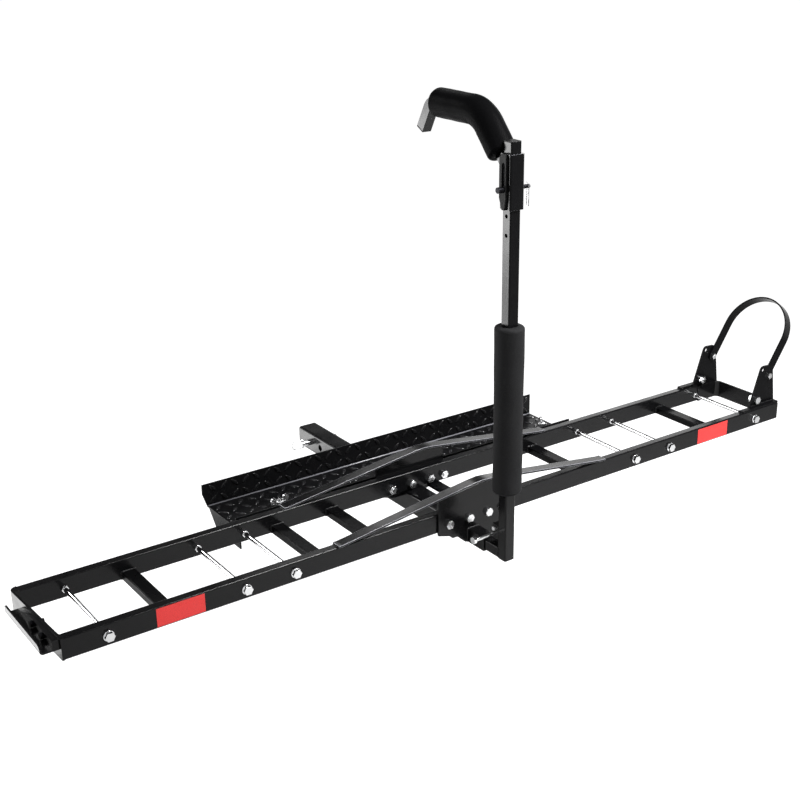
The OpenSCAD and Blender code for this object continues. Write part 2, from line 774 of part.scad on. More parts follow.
module ramp() {
    l = ramp_x1 - ramp_x0;
    color(black) at_tray() difference() {
        translate([ramp_x0, ramp_y0, ramp_z]) union() {
            translate([ramp_cut, 0, 0]) cube([l - ramp_cut, ramp_w, ramp_t]);
            translate([0, ramp_w, 0]) rotate([90, 0, 0]) linear_extrude(ramp_t)
                polygon([[ramp_cut, 0], [l, 0], [l, flange_h], [0, flange_h], [0, 33]]);
            translate([0, ramp_t, 0]) rotate([90, 0, 0]) linear_extrude(ramp_t)
                polygon([[ramp_cut, 0], [l, 0], [l, front_flange_h], [0, front_flange_h], [0, 22]]);
            translate([ramp_cut, 0, 0]) rotate([90, 0, 90]) linear_extrude(ramp_t)
                polygon([[8, -lip_h], [lip_foot, -lip_h], [lip_top, 0], [lip_top, ramp_t], [8, ramp_t]]);
        }
        for (x = bracket_x) translate([x, tray_w + stud_y, -1])
            cylinder(r = stud_r + run_gap, h = ramp_t + 2);
    }
}

module wing_nut_shape() {
    z0 = ramp_z + ramp_t + side_gap;
    translate([0, 0, -bracket_t - 6]) cylinder(r = stud_r, h = bracket_t + 6 + z0 + 14);
    translate([0, 0, z0]) cylinder(r = 9, h = 9);
    for (s = [-1, 1]) {
        translate([s * 16, 0, z0 + 13]) rotate([90, 0, 0]) cylinder(r = 8, h = 4, center = true);
        translate([s * 9, 0, z0 + 8]) cube([14, 4, 10], center = true);
    }
}

module left_wing_nut() {
    color(zinc) at_tray() translate([bracket_x[0], tray_w + stud_y, 0]) rotate(8) wing_nut_shape();
}

module right_wing_nut() {
    color(zinc) at_tray() translate([bracket_x[1], tray_w + stud_y, 0]) rotate(60) wing_nut_shape();
}

module mast_post() {
    z0 = leg_z - mast / 2;
    color(black) at_mast() difference() {
        translate([0, 0, z0]) linear_extrude(mast_top - z0) rrect(mast, mast, mast_r);
        translate([0, 0, z0 + 3]) linear_extrude(mast_top - z0) rrect(mast_in, mast_in, 0.8);
        for (z = concat(mast_holes, [head_pin_z])) translate([-mast, 0, z]) rotate([0, 90, 0])
            cylinder(r = head_pin_r + run_gap, h = 2 * mast);
    }
}

module mast_leg() {
    color(black) at_mast() translate([0, mast / 2, leg_z])
        tube_y(mast_front - mast / 2 + leg_back, mast, mast, mast_wall, mast_r);
}

module mast_lug() {
    color(black) at_mast() difference() {
        translate([-mast / 2, mast / 2, clamp_z - 12]) cube([mast, 18, 32]);
        translate([-mast, clamp_y, clamp_z]) rotate([0, 90, 0])
            cylinder(r = clamp_r + run_gap, h = 2 * mast);
    }
}

module lug_screw() {
    color(zinc) at_mast() translate([-mast / 2 - 6, clamp_y, clamp_z + 12]) rotate([0, 90, 0])
        cylinder(r = 5, h = 6, $fn = 6);
}

module mast_cap() {
    color(black) at_mast() translate([0, 0, mast_top]) linear_extrude(2.5) rrect(mast, mast, mast_r);
}

module foam_sleeve() {
    color(foam_grey) at_mast() difference() {
        translate([0, 0, foam_z0]) cylinder(d = foam_d, h = foam_z1 - foam_z0);
        translate([0, 0, foam_z0 - 1]) linear_extrude(foam_z1 - foam_z0 + 2) rrect(mast, mast, mast_r);
    }
}

module clamp_bolt() {
    color(zinc) at_mast() translate([-mast / 2 - clamp_out, clamp_y, clamp_z]) rotate([0, 90, 0]) {
        translate([0, 0, -6.5]) cylinder(r = small_nut_r + 0.6, h = 6.5, $fn = 6);
        translate([0, 0, -eps]) cylinder(r = clamp_r, h = clamp_out + mast + 8);
    }
}

module head_slot() {
    h = head_slot_z1 - head_slot_z0;
    w = head_pin_r + slide_gap;
    translate([-sleeve, -w, head_slot_z0 + w]) cube([2 * sleeve, 2 * w, h - 2 * w]);
    for (z = [head_slot_z0 + w, head_slot_z1 - w])
        translate([-sleeve, 0, z]) rotate([0, 90, 0]) cylinder(r = w, h = 2 * sleeve);
}

module head_sleeve() {
    color(black) at_mast() difference() {
        translate([0, 0, sleeve_z0]) linear_extrude(sleeve_z1 - sleeve_z0) difference() {
            rrect(sleeve, sleeve, 4);
            rrect(sleeve_in, sleeve_in, mast_r);
        }
        head_slot();
    }
}

module latch_plate() {
    w = sleeve / 2 - 5;
    color(black) at_mast() difference() {
        translate([latch_x, 0, 0]) rotate([90, 0, 90]) linear_extrude(latch_t)
            polygon([[-latch_near, sleeve_z0 + 22], [-4, sleeve_z0], [4, sleeve_z0], [w, sleeve_z0 + 22],
                [w, sleeve_z1 - 8], [w - 6, sleeve_z1], [4 - latch_near, sleeve_z1],
                [-latch_near, sleeve_z1 - 8]]);
        head_slot();
    }
}

// arm outline in y and z, cut at the back of the sleeve
module arm_outline(d) {
    intersection() {
        polygon(ribbon(arm_path, d));
        translate([sleeve / 2, 0]) square(tray_len);
    }
}

// square bar of side w along the arm
module arm_bar(w) {
    rotate([90, 0, 90]) translate([0, 0, -w / 2]) linear_extrude(w) arm_outline(w / 2);
}

module head_arm() {
    color(black) at_mast() difference() {
        arm_bar(arm_side);
        arm_bar(arm_in);
    }
}

// round pad along the arm: sloping part, bend and level part
module arm_pad() {
    run = norm([arm_bend1[0][0] - pad_axis0[0], arm_bend1[0][1] - pad_axis0[1]]);
    color(foam_grey) at_mast() difference() {
        union() {
            translate([0, pad_axis0[0], pad_axis0[1]]) rotate([-arm_lean, 0, 0])
                cylinder(d = pad_d, h = run + 0.2);
            translate([0, arm_c1[0], arm_c1[1]]) rotate([90, 0, 90]) rotate([0, 0, 90])
                rotate_extrude(angle = arm_h0) translate([arm_bend, 0]) circle(d = pad_d);
            translate([0, arm_c1[0] - 0.2, arm_z]) rotate([-90, 0, 0])
                cylinder(d = pad_d, h = tip_y - pad_bare - arm_c1[0]);
        }
        arm_bar(arm_side);
        translate([-pad_d, -pad_d, 0])
            cube([2 * pad_d, pad_d + sleeve / 2 + slide_gap, sleeve_z1 + slide_gap]);
        translate([-pad_d, -pad_d, 0])
            cube([2 * pad_d, pad_d + mast / 2 + 2 * slide_gap, mast_top + head_travel + 6]);
    }
}

module arm_cap() {
    color(black) at_mast() translate([0, arm_last[0], arm_last[1]]) rotate([-90 - tip_turn, 0, 0])
        linear_extrude(2.5) square([arm_side, arm_side], center = true);
}

module head_pin() {
    x0 = latch_x - side_gap;
    color(zinc) at_mast() translate([0, 0, head_pin_z]) difference() {
        rotate([0, 90, 0]) union() {
            translate([0, 0, x0 - knob_len]) cylinder(r = 6, h = knob_len);
            translate([0, 0, x0 - eps]) cylinder(r = head_pin_r, h = head_pin_end - x0);
        }
        translate([head_pin_end - clip_in, 0, -10]) cylinder(r = wire_r, h = 20);
    }
}

module head_clip() {
    d = head_pin_r + 2 * wire_r;
    color(zinc) at_mast() translate([head_pin_end - clip_in, 0, head_pin_z]) {
        translate([0, 0, -36]) cylinder(r = wire_r, h = 45);
        translate([0, -d, -36]) cylinder(r = wire_r, h = 42);
        translate([0, -d / 2, -36]) rotate([0, 90, 0]) rotate([0, 0, -90])
            rotate_extrude(angle = 180) translate([d / 2, 0]) circle(wire_r);
    }
}

module hitch_pin() {
    x0 = -tube / 2 - pin_tail;
    x1 = tube / 2 + pin_head;
    color(zinc) translate([0, hole_pitch_y, 0]) difference() {
        union() {
            translate([x0, 0, 0]) rotate([0, 90, 0]) cylinder(r = pin_r, h = x1 - x0);
            translate([x1, 0, -pin_bend]) rotate([90, 0, 0]) rotate_extrude(angle = 90)
                translate([pin_bend, 0]) circle(pin_r);
            translate([x1 + pin_bend, 0, -pin_drop]) cylinder(r = pin_r, h = pin_drop - pin_bend);
        }
        translate([x0 + 8, 0, -20]) cylinder(r = wire_r, h = 40);
    }
}

module hitch_clip() {
    x0 = -tube / 2 - pin_tail + 8;
    h = 10;
    color(zinc) translate([x0, hole_pitch_y, 0]) {
        translate([0, 0, -h]) cylinder(r = wire_r, h = 2 * h);
        for (s = [-1, 1]) {
            translate([0, 0, s * h]) sphere(wire_r);
            translate([-22, 0, s * h]) rotate([0, 90, 0]) cylinder(r = wire_r, h = 22);
        }
        translate([-22, 0, 0]) rotate([90, 0, 0]) rotate([0, 0, 90])
            rotate_extrude(angle = 180) translate([h, 0]) circle(wire_r);
    }
}

front_rail();
rear_rail();
left_end_plate();
right_end_frame();
rail_caps();
cross_bars();
cross_bolts();
cross_bolt_washers();
cross_bolt_nuts();
front_gusset();
rear_gusset();
gusset_bolts();
gusset_nuts();
front_arch();
rear_arch();
hitch_tube();
tube_front_plate();
mast_socket();
hook_bracket();
hook_bolts();
reflectors();
cheek_feet();
front_cheek();
rear_cheek();
cheek_spacers();
cheek_bolts();
cheek_nuts();
hoop_bolts();
hoop_nuts();
wheel_hoop();
ramp_brackets();
ramp();
left_wing_nut();
right_wing_nut();
mast_post();
mast_leg();
mast_lug();
lug_screw();
mast_cap();
foam_sleeve();
clamp_bolt();
head_sleeve();
latch_plate();
head_arm();
arm_pad();
arm_cap();
head_pin();
head_clip();
hitch_pin();
hitch_clip();
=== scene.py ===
import math

import bmesh
import bpy
from mathutils import Matrix, Vector, noise


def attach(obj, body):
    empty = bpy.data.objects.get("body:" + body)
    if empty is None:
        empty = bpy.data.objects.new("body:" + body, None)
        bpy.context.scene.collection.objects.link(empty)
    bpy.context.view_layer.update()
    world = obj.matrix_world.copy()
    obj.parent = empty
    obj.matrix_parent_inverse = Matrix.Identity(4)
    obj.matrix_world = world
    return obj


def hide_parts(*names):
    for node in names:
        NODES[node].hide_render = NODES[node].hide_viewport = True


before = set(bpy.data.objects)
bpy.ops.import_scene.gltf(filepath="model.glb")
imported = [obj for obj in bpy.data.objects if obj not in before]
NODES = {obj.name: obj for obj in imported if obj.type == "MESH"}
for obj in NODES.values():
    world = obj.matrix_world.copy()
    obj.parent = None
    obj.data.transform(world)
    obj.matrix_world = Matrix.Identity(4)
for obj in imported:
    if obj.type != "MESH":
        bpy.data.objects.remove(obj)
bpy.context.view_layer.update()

SCENE = bpy.context.scene
MM = 0.001
WHITE = (1.0, 1.0, 1.0, 1.0)

# places in the tray's own millimetres: x from its left end, y from its front, z from the rail bottom
HITCH_X = 903.5
TRAY_FRONT = 591.0
RAIL_BOTTOM = 25.0
TRAY_LEN = 1905.0
TRAY_W = 232.0
RAIL_W = 20.0
RAIL_H = 44.0
MAST_Y = -118.5
MAST_HALF = 12.5


def tray(x, y, z):
    """A place in the tray's millimetres as a point of the frame in metres."""
    return Vector(((x - HITCH_X) * MM, (y - TRAY_FRONT) * MM, (z + RAIL_BOTTOM) * MM))


def mast(x, y, z):
    """The same with x and y from the mast's axis."""
    return tray(HITCH_X + x, MAST_Y + y, z)


def rgb(code):
    """sRGB hex to a linear colour."""
    parts = [int(code[i:i + 2], 16) / 255 for i in (1, 3, 5)]
    return tuple(c / 12.92 if c <= 0.04045 else ((c + 0.055) / 1.055) ** 2.4 for c in parts) + (1.0,)


def add(tree, kind, inputs=(), **settings):
    """Adds a node. settings are its properties, or values of inputs by name with _ for a space.
    inputs are (name or number, output socket to link or value) pairs."""
    node = tree.nodes.new(kind)
    for name, value in settings.items():
        if hasattr(node, name):
            setattr(node, name, value)
        else:
            node.inputs[name.replace("_", " ")].default_value = value
    for name, source in inputs:
        if isinstance(source, bpy.types.NodeSocket):
            tree.links.new(source, node.inputs[name])
        else:
            node.inputs[name].default_value = source
    return node


def material(name, **constants):
    """A new material: (material, tree, Principled shader with these constants on its sockets)."""
    made = bpy.data.materials.new(name)
    made.use_nodes = True
    tree = made.node_tree
    tree.nodes.clear()
    shader = add(tree, "ShaderNodeBsdfPrincipled", **constants)
    add(tree, "ShaderNodeOutputMaterial", [("Surface", shader.outputs["BSDF"])])
    return made, tree, shader


# floor, light and camera

FLOOR_Z = -0.42
FLOOR_HALF = 60.0
# how bright the floor glows to the camera, and to the coat in front of the object and behind it
FLOOR_SEEN = 0.86
FLOOR_MIRRORED = 0.05
FLOOR_BEHIND = 1.0
# the way along the floor away from the photograph's camera, and where the floor turns white on it
BEHIND_WAY = (0.617, 0.787, 0.0)
BEHIND_FROM, BEHIND_TO = 0.4, 0.8


def studio_floor():
    """A pale floor. The camera sees it as white. The coat mirrors it as it is lit, and white where it
    lies behind the object."""
    mesh = bpy.data.meshes.new("floor")
    corners = [(-1, -1), (1, -1), (1, 1), (-1, 1)]
    mesh.from_pydata([(x * FLOOR_HALF, y * FLOOR_HALF, FLOOR_Z) for x, y in corners], [], [(0, 1, 2, 3)])
    floor = bpy.data.objects.new("floor", mesh)
    SCENE.collection.objects.link(floor)
    made, tree, shader = material("pale_studio_floor", Base_Color=rgb("#A8A8A8"), Roughness=0.9,
                                  Specular_IOR_Level=0.0, Emission_Color=WHITE)
    path = add(tree, "ShaderNodeLightPath").outputs
    place = add(tree, "ShaderNodeTexCoord").outputs["Object"]
    away = add(tree, "ShaderNodeVectorMath", [(0, place), (1, BEHIND_WAY)], operation="DOT_PRODUCT")
    white = add(tree, "ShaderNodeMapRange", [("Value", away.outputs["Value"])],
                interpolation_type="SMOOTHSTEP", From_Min=BEHIND_FROM, From_Max=BEHIND_TO,
                To_Min=FLOOR_MIRRORED, To_Max=FLOOR_BEHIND)
    mirrored = add(tree, "ShaderNodeMath", [(0, path["Is Glossy Ray"]), (1, white.outputs["Result"])],
                   operation="MULTIPLY")
    glow = add(tree, "ShaderNodeMath",
               [(0, path["Is Camera Ray"]), (1, FLOOR_SEEN), (2, mirrored.outputs[0])],
               operation="MULTIPLY_ADD")
    tree.links.new(glow.outputs[0], shader.inputs["Emission Strength"])
    mesh.materials.append(made)


SKY_LIGHT = 0.4
SKY_HIGH = 0.05
# sine of the elevation at which the mirrored sky starts to darken and is dark
DUSK_FROM, DUSK_TO = 0.18, 0.36


def studio_sky():
    """A sky that the camera sees as white. Polished faces see it darken upwards, as in a studio with
    a white wall and a dark ceiling."""
    world = bpy.data.worlds.new("white_studio")
    world.use_nodes = True
    tree = world.node_tree
    tree.nodes.clear()
    path = add(tree, "ShaderNodeLightPath").outputs
    way = add(tree, "ShaderNodeSeparateXYZ", [(0, add(tree, "ShaderNodeTexCoord").outputs["Generated"])])
    dusk = add(tree, "ShaderNodeMapRange", [("Value", way.outputs["Z"])], interpolation_type="SMOOTHSTEP",
               From_Min=DUSK_FROM, From_Max=DUSK_TO, To_Min=1.0, To_Max=SKY_HIGH)
    mirrored = add(tree, "ShaderNodeMix",
                   [("Factor", path["Is Glossy Ray"]), ("A", SKY_LIGHT), ("B", dusk.outputs["Result"])])
    level = add(tree, "ShaderNodeMix",
                [("Factor", path["Is Camera Ray"]), ("A", mirrored.outputs["Result"]), ("B", 1.0)])
    sky = add(tree, "ShaderNodeBackground", [("Strength", level.outputs["Result"])], Color=WHITE)
    add(tree, "ShaderNodeOutputWorld", [("Surface", sky.outputs["Background"])])
    SCENE.world = world


def soft_light(name, place, target, size, watts, spread=180):
    """A rectangular lamp in metres and watts, aimed at a point; spread is its beam in degrees."""
    lamp = bpy.data.lights.new(name, "AREA")
    lamp.shape = "RECTANGLE"
    lamp.size, lamp.size_y = size
    lamp.energy = watts
    lamp.spread = math.radians(spread)
    holder = bpy.data.objects.new(name, lamp)
    holder.location = place
    holder.rotation_euler = (Vector(target) - Vector(place)).to_track_quat("-Z", "Y").to_euler()
    holder.visible_camera = False
    SCENE.collection.objects.link(holder)


LENS_MM = 57.713
SENSOR_MM = 36.0
SHIFT = (-0.10638, -0.01063)
CAM_PLACE = (-1.516833, -2.567111, 1.275865)
CAM_RIGHT = (0.788897, -0.614461, 0.008938)
CAM_DOWN = (-0.212153, -0.285972, -0.934458)
CAM_AHEAD = (0.576743, 0.735295, -0.355962)
CAM_REACH = 200.0


def photo_camera():
    """The camera at the photograph's place and angle."""
    lens = bpy.data.cameras.new("camera")
    lens.lens = LENS_MM
    lens.sensor_width = SENSOR_MM
    lens.sensor_fit = "HORIZONTAL"
    lens.shift_x, lens.shift_y = SHIFT
    lens.clip_end = CAM_REACH
    camera = bpy.data.objects.new("camera", lens)
    turn = Matrix((CAM_RIGHT, [-v for v in CAM_DOWN], [-v for v in CAM_AHEAD])).transposed()
    camera.matrix_world = Matrix.Translation(CAM_PLACE) @ turn.to_4x4()
    SCENE.collection.objects.link(camera)
    SCENE.camera = camera


studio_floor()
studio_sky()
# lamps on the camera's side of the object
soft_light("key_front_right", (1.0, -1.75, 2.3), (0.6, -1.0, 0.0), (1.25, 0.5), 54, spread=90)
soft_light("fill_front_left", (-2.6, -2.4, 3.0), (0.0, -0.4, 0.1), (2.2, 2.2), 30)
# lamps behind it
soft_light("back_right", (1.3, 2.07, 2.13), (-0.1, -0.5, 0.15), (0.7, 0.5), 3.3)
soft_light("right_back_low", (2.9, 1.9, 1.3), (0.5, -0.4, 0.05), (1.3, 0.5), 5)
soft_light("back_left_high", (-1.25, 1.8, 1.7), (-0.2, -0.4, 0.0), (0.8, 0.8), 14)
# two that lie on the floor behind the tray's left end and shine up, and one that stands beyond them
soft_light("left_low", (-1.2, 1.35, -0.4), (-1.2, 1.35, 1.0), (1.6, 1.2), 30)
soft_light("left_card", (-1.24, 0.35, -0.4), (-1.24, 0.35, 1.0), (0.34, 0.5), 1.5)
soft_light("left_wall", (-2.4, 2.1, 0.05), (0.0, -0.7, 0.4), (1.6, 0.9), 45)
photo_camera()
SCENE.view_settings.view_transform = "Standard"

# finishes


def powder_coat(name, colour, dusty, rough, shine, peel_mm, peel_depth):
    """Polyester powder coat on steel, sprayed and baked: satin black, with the fine orange peel of the
    melted powder and a slow drift of gloss along the bar."""
    made, tree, shader = material(name, IOR=1.5, Specular_IOR_Level=shine)
    place = add(tree, "ShaderNodeTexCoord").outputs["Object"]
    # the gloss drifts over about 70 mm
    drift = add(tree, "ShaderNodeTexNoise", [("Vector", place)], Scale=14.0, Detail=3.0)
    # the peel is about 1 mm on the real coat; it is drawn coarser so that it shows in the render
    peel = add(tree, "ShaderNodeTexNoise", [("Vector", place)], Scale=1 / (peel_mm * MM), Detail=2.0)
    tone = add(tree, "ShaderNodeMix", [("Factor", drift.outputs["Fac"])], data_type="RGBA",
               A=rgb(colour), B=rgb(dusty))
    gloss = add(tree, "ShaderNodeMapRange", [("Value", drift.outputs["Fac"])],
                From_Min=0.3, From_Max=0.7, To_Min=rough - 0.06, To_Max=rough + 0.06)
    skin = add(tree, "ShaderNodeBump", [("Height", peel.outputs["Fac"])],
               Distance=peel_depth * MM, Strength=0.5)
    tree.links.new(tone.outputs["Result"], shader.inputs["Base Color"])
    tree.links.new(gloss.outputs["Result"], shader.inputs["Roughness"])
    tree.links.new(skin.outputs["Normal"], shader.inputs["Normal"])
    return made


def bright_zinc(name, polished, clouded):
    """Electroplated zinc on turned steel: bright, slightly blue, clouded where the plating varies,
    with fine marks of the tool."""
    made, tree, shader = material(name, Metallic=1.0)
    place = add(tree, "ShaderNodeTexCoord").outputs["Object"]
    # clouds of about 11 mm
    cloud = add(tree, "ShaderNodeTexNoise", [("Vector", place)], Scale=90.0, Detail=4.0)
    tone = add(tree, "ShaderNodeMix", [("Factor", cloud.outputs["Fac"])], data_type="RGBA",
               A=rgb("#EEEFF1"), B=rgb("#FCFCFC"))
    gloss = add(tree, "ShaderNodeMapRange", [("Value", cloud.outputs["Fac"])],
                From_Min=0.3, From_Max=0.7, To_Min=polished, To_Max=clouded)
    # tool marks of 0.4 mm, drawn at 0.8 mm so that they show
    marks = add(tree, "ShaderNodeTexNoise", [("Vector", place)], Scale=1 / (0.8 * MM), Detail=1.0)
    skin = add(tree, "ShaderNodeBump", [("Height", marks.outputs["Fac"])], Distance=0.01 * MM, Strength=0.2)
    tree.links.new(tone.outputs["Result"], shader.inputs["Base Color"])
    tree.links.new(gloss.outputs["Result"], shader.inputs["Roughness"])
    tree.links.new(skin.outputs["Normal"], shader.inputs["Normal"])
    return made


def black_oxide(name):
    """Black oxide on steel: dark blue-grey metal with an oily, uneven gloss."""
    made, tree, shader = material(name, Metallic=1.0)
    place = add(tree, "ShaderNodeTexCoord").outputs["Object"]
    # clouds of about 7 mm
    cloud = add(tree, "ShaderNodeTexNoise", [("Vector", place)], Scale=140.0, Detail=3.0)
    tone = add(tree, "ShaderNodeMix", [("Factor", cloud.outputs["Fac"])], data_type="RGBA",
               A=rgb("#141416"), B=rgb("#232326"))
    gloss = add(tree, "ShaderNodeMapRange", [("Value", cloud.outputs["Fac"])],
                From_Min=0.3, From_Max=0.7, To_Min=0.4, To_Max=0.55)
    tree.links.new(tone.outputs["Result"], shader.inputs["Base Color"])
    tree.links.new(gloss.outputs["Result"], shader.inputs["Roughness"])
    return made


def foam_rubber(name, dark, light, cut, rough, shine):
    """Closed-cell rubber foam, extruded: dull charcoal with a fine grain of cells, little gloss."""
    made, tree, shader = material(name, Roughness=rough, Specular_IOR_Level=shine)
    place = add(tree, "ShaderNodeTexCoord").outputs["Object"]
    # cells of about 0.6 mm, drawn at 2.2 mm so that the grain shows
    cells = add(tree, "ShaderNodeTexVoronoi", [("Vector", place)], Scale=1 / (2.2 * MM))
    # wear in patches of about 40 mm
    wear = add(tree, "ShaderNodeTexNoise", [("Vector", place)], Scale=26.0, Detail=4.0)
    tone = add(tree, "ShaderNodeMix", [("Factor", wear.outputs["Fac"])], data_type="RGBA",
               A=rgb(dark), B=rgb(light))
    grain = add(tree, "ShaderNodeMix",
                [("Factor", cells.outputs["Distance"]), ("A", tone.outputs["Result"])],
                data_type="RGBA", B=rgb(cut))
    skin = add(tree, "ShaderNodeBump", [("Height", cells.outputs["Distance"])],
               Distance=0.3 * MM, Strength=0.5)
    tree.links.new(grain.outputs["Result"], shader.inputs["Base Color"])
    tree.links.new(skin.outputs["Normal"], shader.inputs["Normal"])
    return made


def reflective_tape(name):
    """Retro-reflective vinyl tape: clear red film over a fine net of glass-bead cells, smooth on top. It
    also glows faintly in its own red, a painted light.
    """
    made, tree, shader = material(name, Roughness=0.35, Emission_Strength=0.05)
    place = add(tree, "ShaderNodeTexCoord").outputs["Object"]
    # cells of about 3 mm
    cells = add(tree, "ShaderNodeTexVoronoi", [("Vector", place)], feature="DISTANCE_TO_EDGE",
                Scale=1 / (3.2 * MM))
    lines = add(tree, "ShaderNodeMapRange", [("Value", cells.outputs["Distance"])],
                From_Min=0.02, From_Max=0.12)
    tone = add(tree, "ShaderNodeMix", [("Factor", lines.outputs["Result"])], data_type="RGBA",
               A=rgb("#CC2C2C"), B=rgb("#DB3432"))
    tree.links.new(tone.outputs["Result"], shader.inputs["Base Color"])
    # the faint red glow is painted light
    tree.links.new(tone.outputs["Result"], shader.inputs["Emission Color"])
    return made


# the coat of the rails, the mast and the plates
powder_black = powder_coat("satin_black_powder_coat", "#09090A", "#0D0D0E",
                           rough=0.2, shine=0.28, peel_mm=2.5, peel_depth=0.12)
# the same coat, a little darker and with less shine, as painted shade: cross bars, cheeks and hoop
painted_shade_black = powder_coat("black_powder_coat_painted_shade", "#070708", "#0A0A0B",
                         rough=0.26, shine=0.09, peel_mm=2.5, peel_depth=0.12)
# the coat on rolled tread plate: its ground, its lugs, and the lugs of the floor, lighter both where tyres
# and shoes rub them and as a painted glint
tread_black = powder_coat("tread_plate_powder_coat", "#0A0A0B", "#101011",
                          rough=0.3, shine=0.12, peel_mm=3.5, peel_depth=0.3)
lug_black = powder_coat("tread_lug_powder_coat", "#0C0C0D", "#131314",
                        rough=0.26, shine=0.25, peel_mm=3.5, peel_depth=0.2)
crown_wear_and_glint = powder_coat("rubbed_tread_crown_and_painted_glint", "#141415", "#202022",
                          rough=0.2, shine=0.9, peel_mm=3.5, peel_depth=0.15)
# a light grey painted on the rounded edges of some pieces and on the fold of the ramp: a painted highlight
painted_highlight_grey = powder_coat("painted_edge_highlight_grey", "#56565A", "#74747A",
                        rough=0.3, shine=0.5, peel_mm=3.0, peel_depth=0.1)
weld_black = powder_coat("weld_bead_under_powder_coat", "#0A0A0B", "#101011",
                         rough=0.28, shine=0.28, peel_mm=1.8, peel_depth=0.3)
# moulded caps and matt paint are drawn with the same kind of skin, but duller
cap_black = powder_coat("moulded_black_polyethylene", "#0C0C0D", "#111112",
                        rough=0.48, shine=0.3, peel_mm=1.2, peel_depth=0.15)
latch_black = powder_coat("matt_black_paint", "#0C0C0D", "#101011",
                          rough=0.62, shine=0.25, peel_mm=2.0, peel_depth=0.2)
zinc = bright_zinc("bright_zinc_plate", polished=0.2, clouded=0.3)
rod_zinc = bright_zinc("drawn_rod_zinc_plate", polished=0.09, clouded=0.14)
oxide = black_oxide("black_oxide_steel")
sleeve_foam = foam_rubber("closed_cell_foam", "#141415", "#1D1D1E", "#222223", rough=0.8, shine=0.12)
pad_foam = foam_rubber("skinned_black_foam", "#09090A", "#0C0C0D", "#0E0E0F", rough=0.4, shine=0.01)
tape = reflective_tape("red_reflective_tape")

FINISHED = (
    (zinc, ("cross_bolt_washers", "cross_bolt_nuts", "gusset_bolts", "gusset_nuts", "cheek_spacers",
            "cheek_bolts", "cheek_nuts", "hoop_bolts", "hoop_nuts", "left_wing_nut", "right_wing_nut",
            "lug_screw", "hitch_pin", "hitch_clip", "head_clip")),
    (rod_zinc, ("cross_bolts", "clamp_bolt")),
    (oxide, ("head_pin", "hook_bolts")),
    (painted_shade_black, ("cross_bars", "front_cheek", "rear_cheek", "cheek_feet", "wheel_hoop")),
    (tread_black, ("ramp",)),
    (latch_black, ("latch_plate",)),
    (cap_black, ("rail_caps", "mast_cap", "arm_cap")),
    (sleeve_foam, ("foam_sleeve",)),
    (pad_foam, ("arm_pad",)),
    (tape, ("reflectors",)),
)
FINISH = {name: finish for finish, names in FINISHED for name in names}
# pieces too small for the edge radius of a welded plate
SMALL = ("cross_bolts", "cross_bolt_washers", "cross_bolt_nuts", "gusset_bolts", "gusset_nuts",
         "cheek_bolts", "cheek_nuts", "cheek_spacers", "hoop_bolts", "hoop_nuts", "lug_screw",
         "clamp_bolt", "hook_bolts", "hitch_clip", "head_clip", "reflectors", "head_pin")
# pieces whose rounded edges are painted light grey as a highlight
PAINTED_HIGHLIGHT_PIECES = ("front_arch", "rear_arch", "head_sleeve")
# soft pieces, which the foam tubes stand for
SOFT = ("foam_sleeve", "arm_pad")
PLATE_EDGE, SMALL_EDGE, PAINTED_HIGHLIGHT_EDGE = 0.8, 0.35, 1.2
EDGE_STEPS = 3
SHARP = math.radians(32)
FLAT = math.radians(1)
SAME_POINT = 1e-5


def finish_cad_pieces():
    """Gives each CAD piece its finish and a small radius on its edges, which catches the light."""
    for name, node in NODES.items():
        node.data.materials.clear()
        node.data.materials.append(FINISH.get(name, powder_black))
        if name in SOFT:
            continue
        # these pieces get a second, light grey finish on their edge radius: a painted highlight
        if name in PAINTED_HIGHLIGHT_PIECES:
            node.data.materials.append(painted_highlight_grey)
        join = node.modifiers.new("join", "WELD")
        join.merge_threshold = SAME_POINT
        flat = node.modifiers.new("flat", "DECIMATE")
        flat.decimate_type = "DISSOLVE"
        flat.angle_limit = FLAT
        edge = node.modifiers.new("edge", "BEVEL")
        edge.limit_method = "ANGLE"
        edge.angle_limit = SHARP
        edge.width = (SMALL_EDGE if name in SMALL else PAINTED_HIGHLIGHT_EDGE if name in PAINTED_HIGHLIGHT_PIECES else PLATE_EDGE) * MM
        edge.segments = EDGE_STEPS
        edge.material = 1 if name in PAINTED_HIGHLIGHT_PIECES else -1
        edge.use_clamp_overlap = True
        node.modifiers.new("even", "WEIGHTED_NORMAL")


def piece(name, mesh, finish, body):
    """Links a finished mesh as a piece of the object that moves with a CAD body."""
    made = bpy.data.objects.new(name, mesh)
    SCENE.collection.objects.link(made)
    mesh.materials.append(finish)
    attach(made, body)
    return made


def plain_mesh(name, shell):
    """The mesh of a bmesh with its faces turned outwards; the bmesh is freed."""
    bmesh.ops.recalc_face_normals(shell, faces=shell.faces)
    mesh = bpy.data.meshes.new(name)
    shell.to_mesh(mesh)
    shell.free()
    return mesh


def skin_rows(shell, rows):
    """Faces between neighbouring closed rows of as many points."""
    for a, b in zip(rows, rows[1:]):
        for k in range(len(a)):
            n = (k + 1) % len(a)
            shell.faces.new((a[k], a[n], b[n], b[k]))


# foam sleeve and arm pad

FOAM_AROUND = 72
# a tube's rounded end: its length and the places of its rings in mm, the share of the wall that stays
# flat, and one more ring within the flat
NOSE = 7.0
NOSE_STEPS = (0.0, 0.4, 1.2, 2.5, 4.2, 6.0, NOSE)
NOSE_FLAT, NOSE_RING = 0.62, 0.35
# the bore is square, its corners rounded at this share of its half width, with some play in mm
BORE_CORNER = 1.26
BORE_PLAY = 0.1


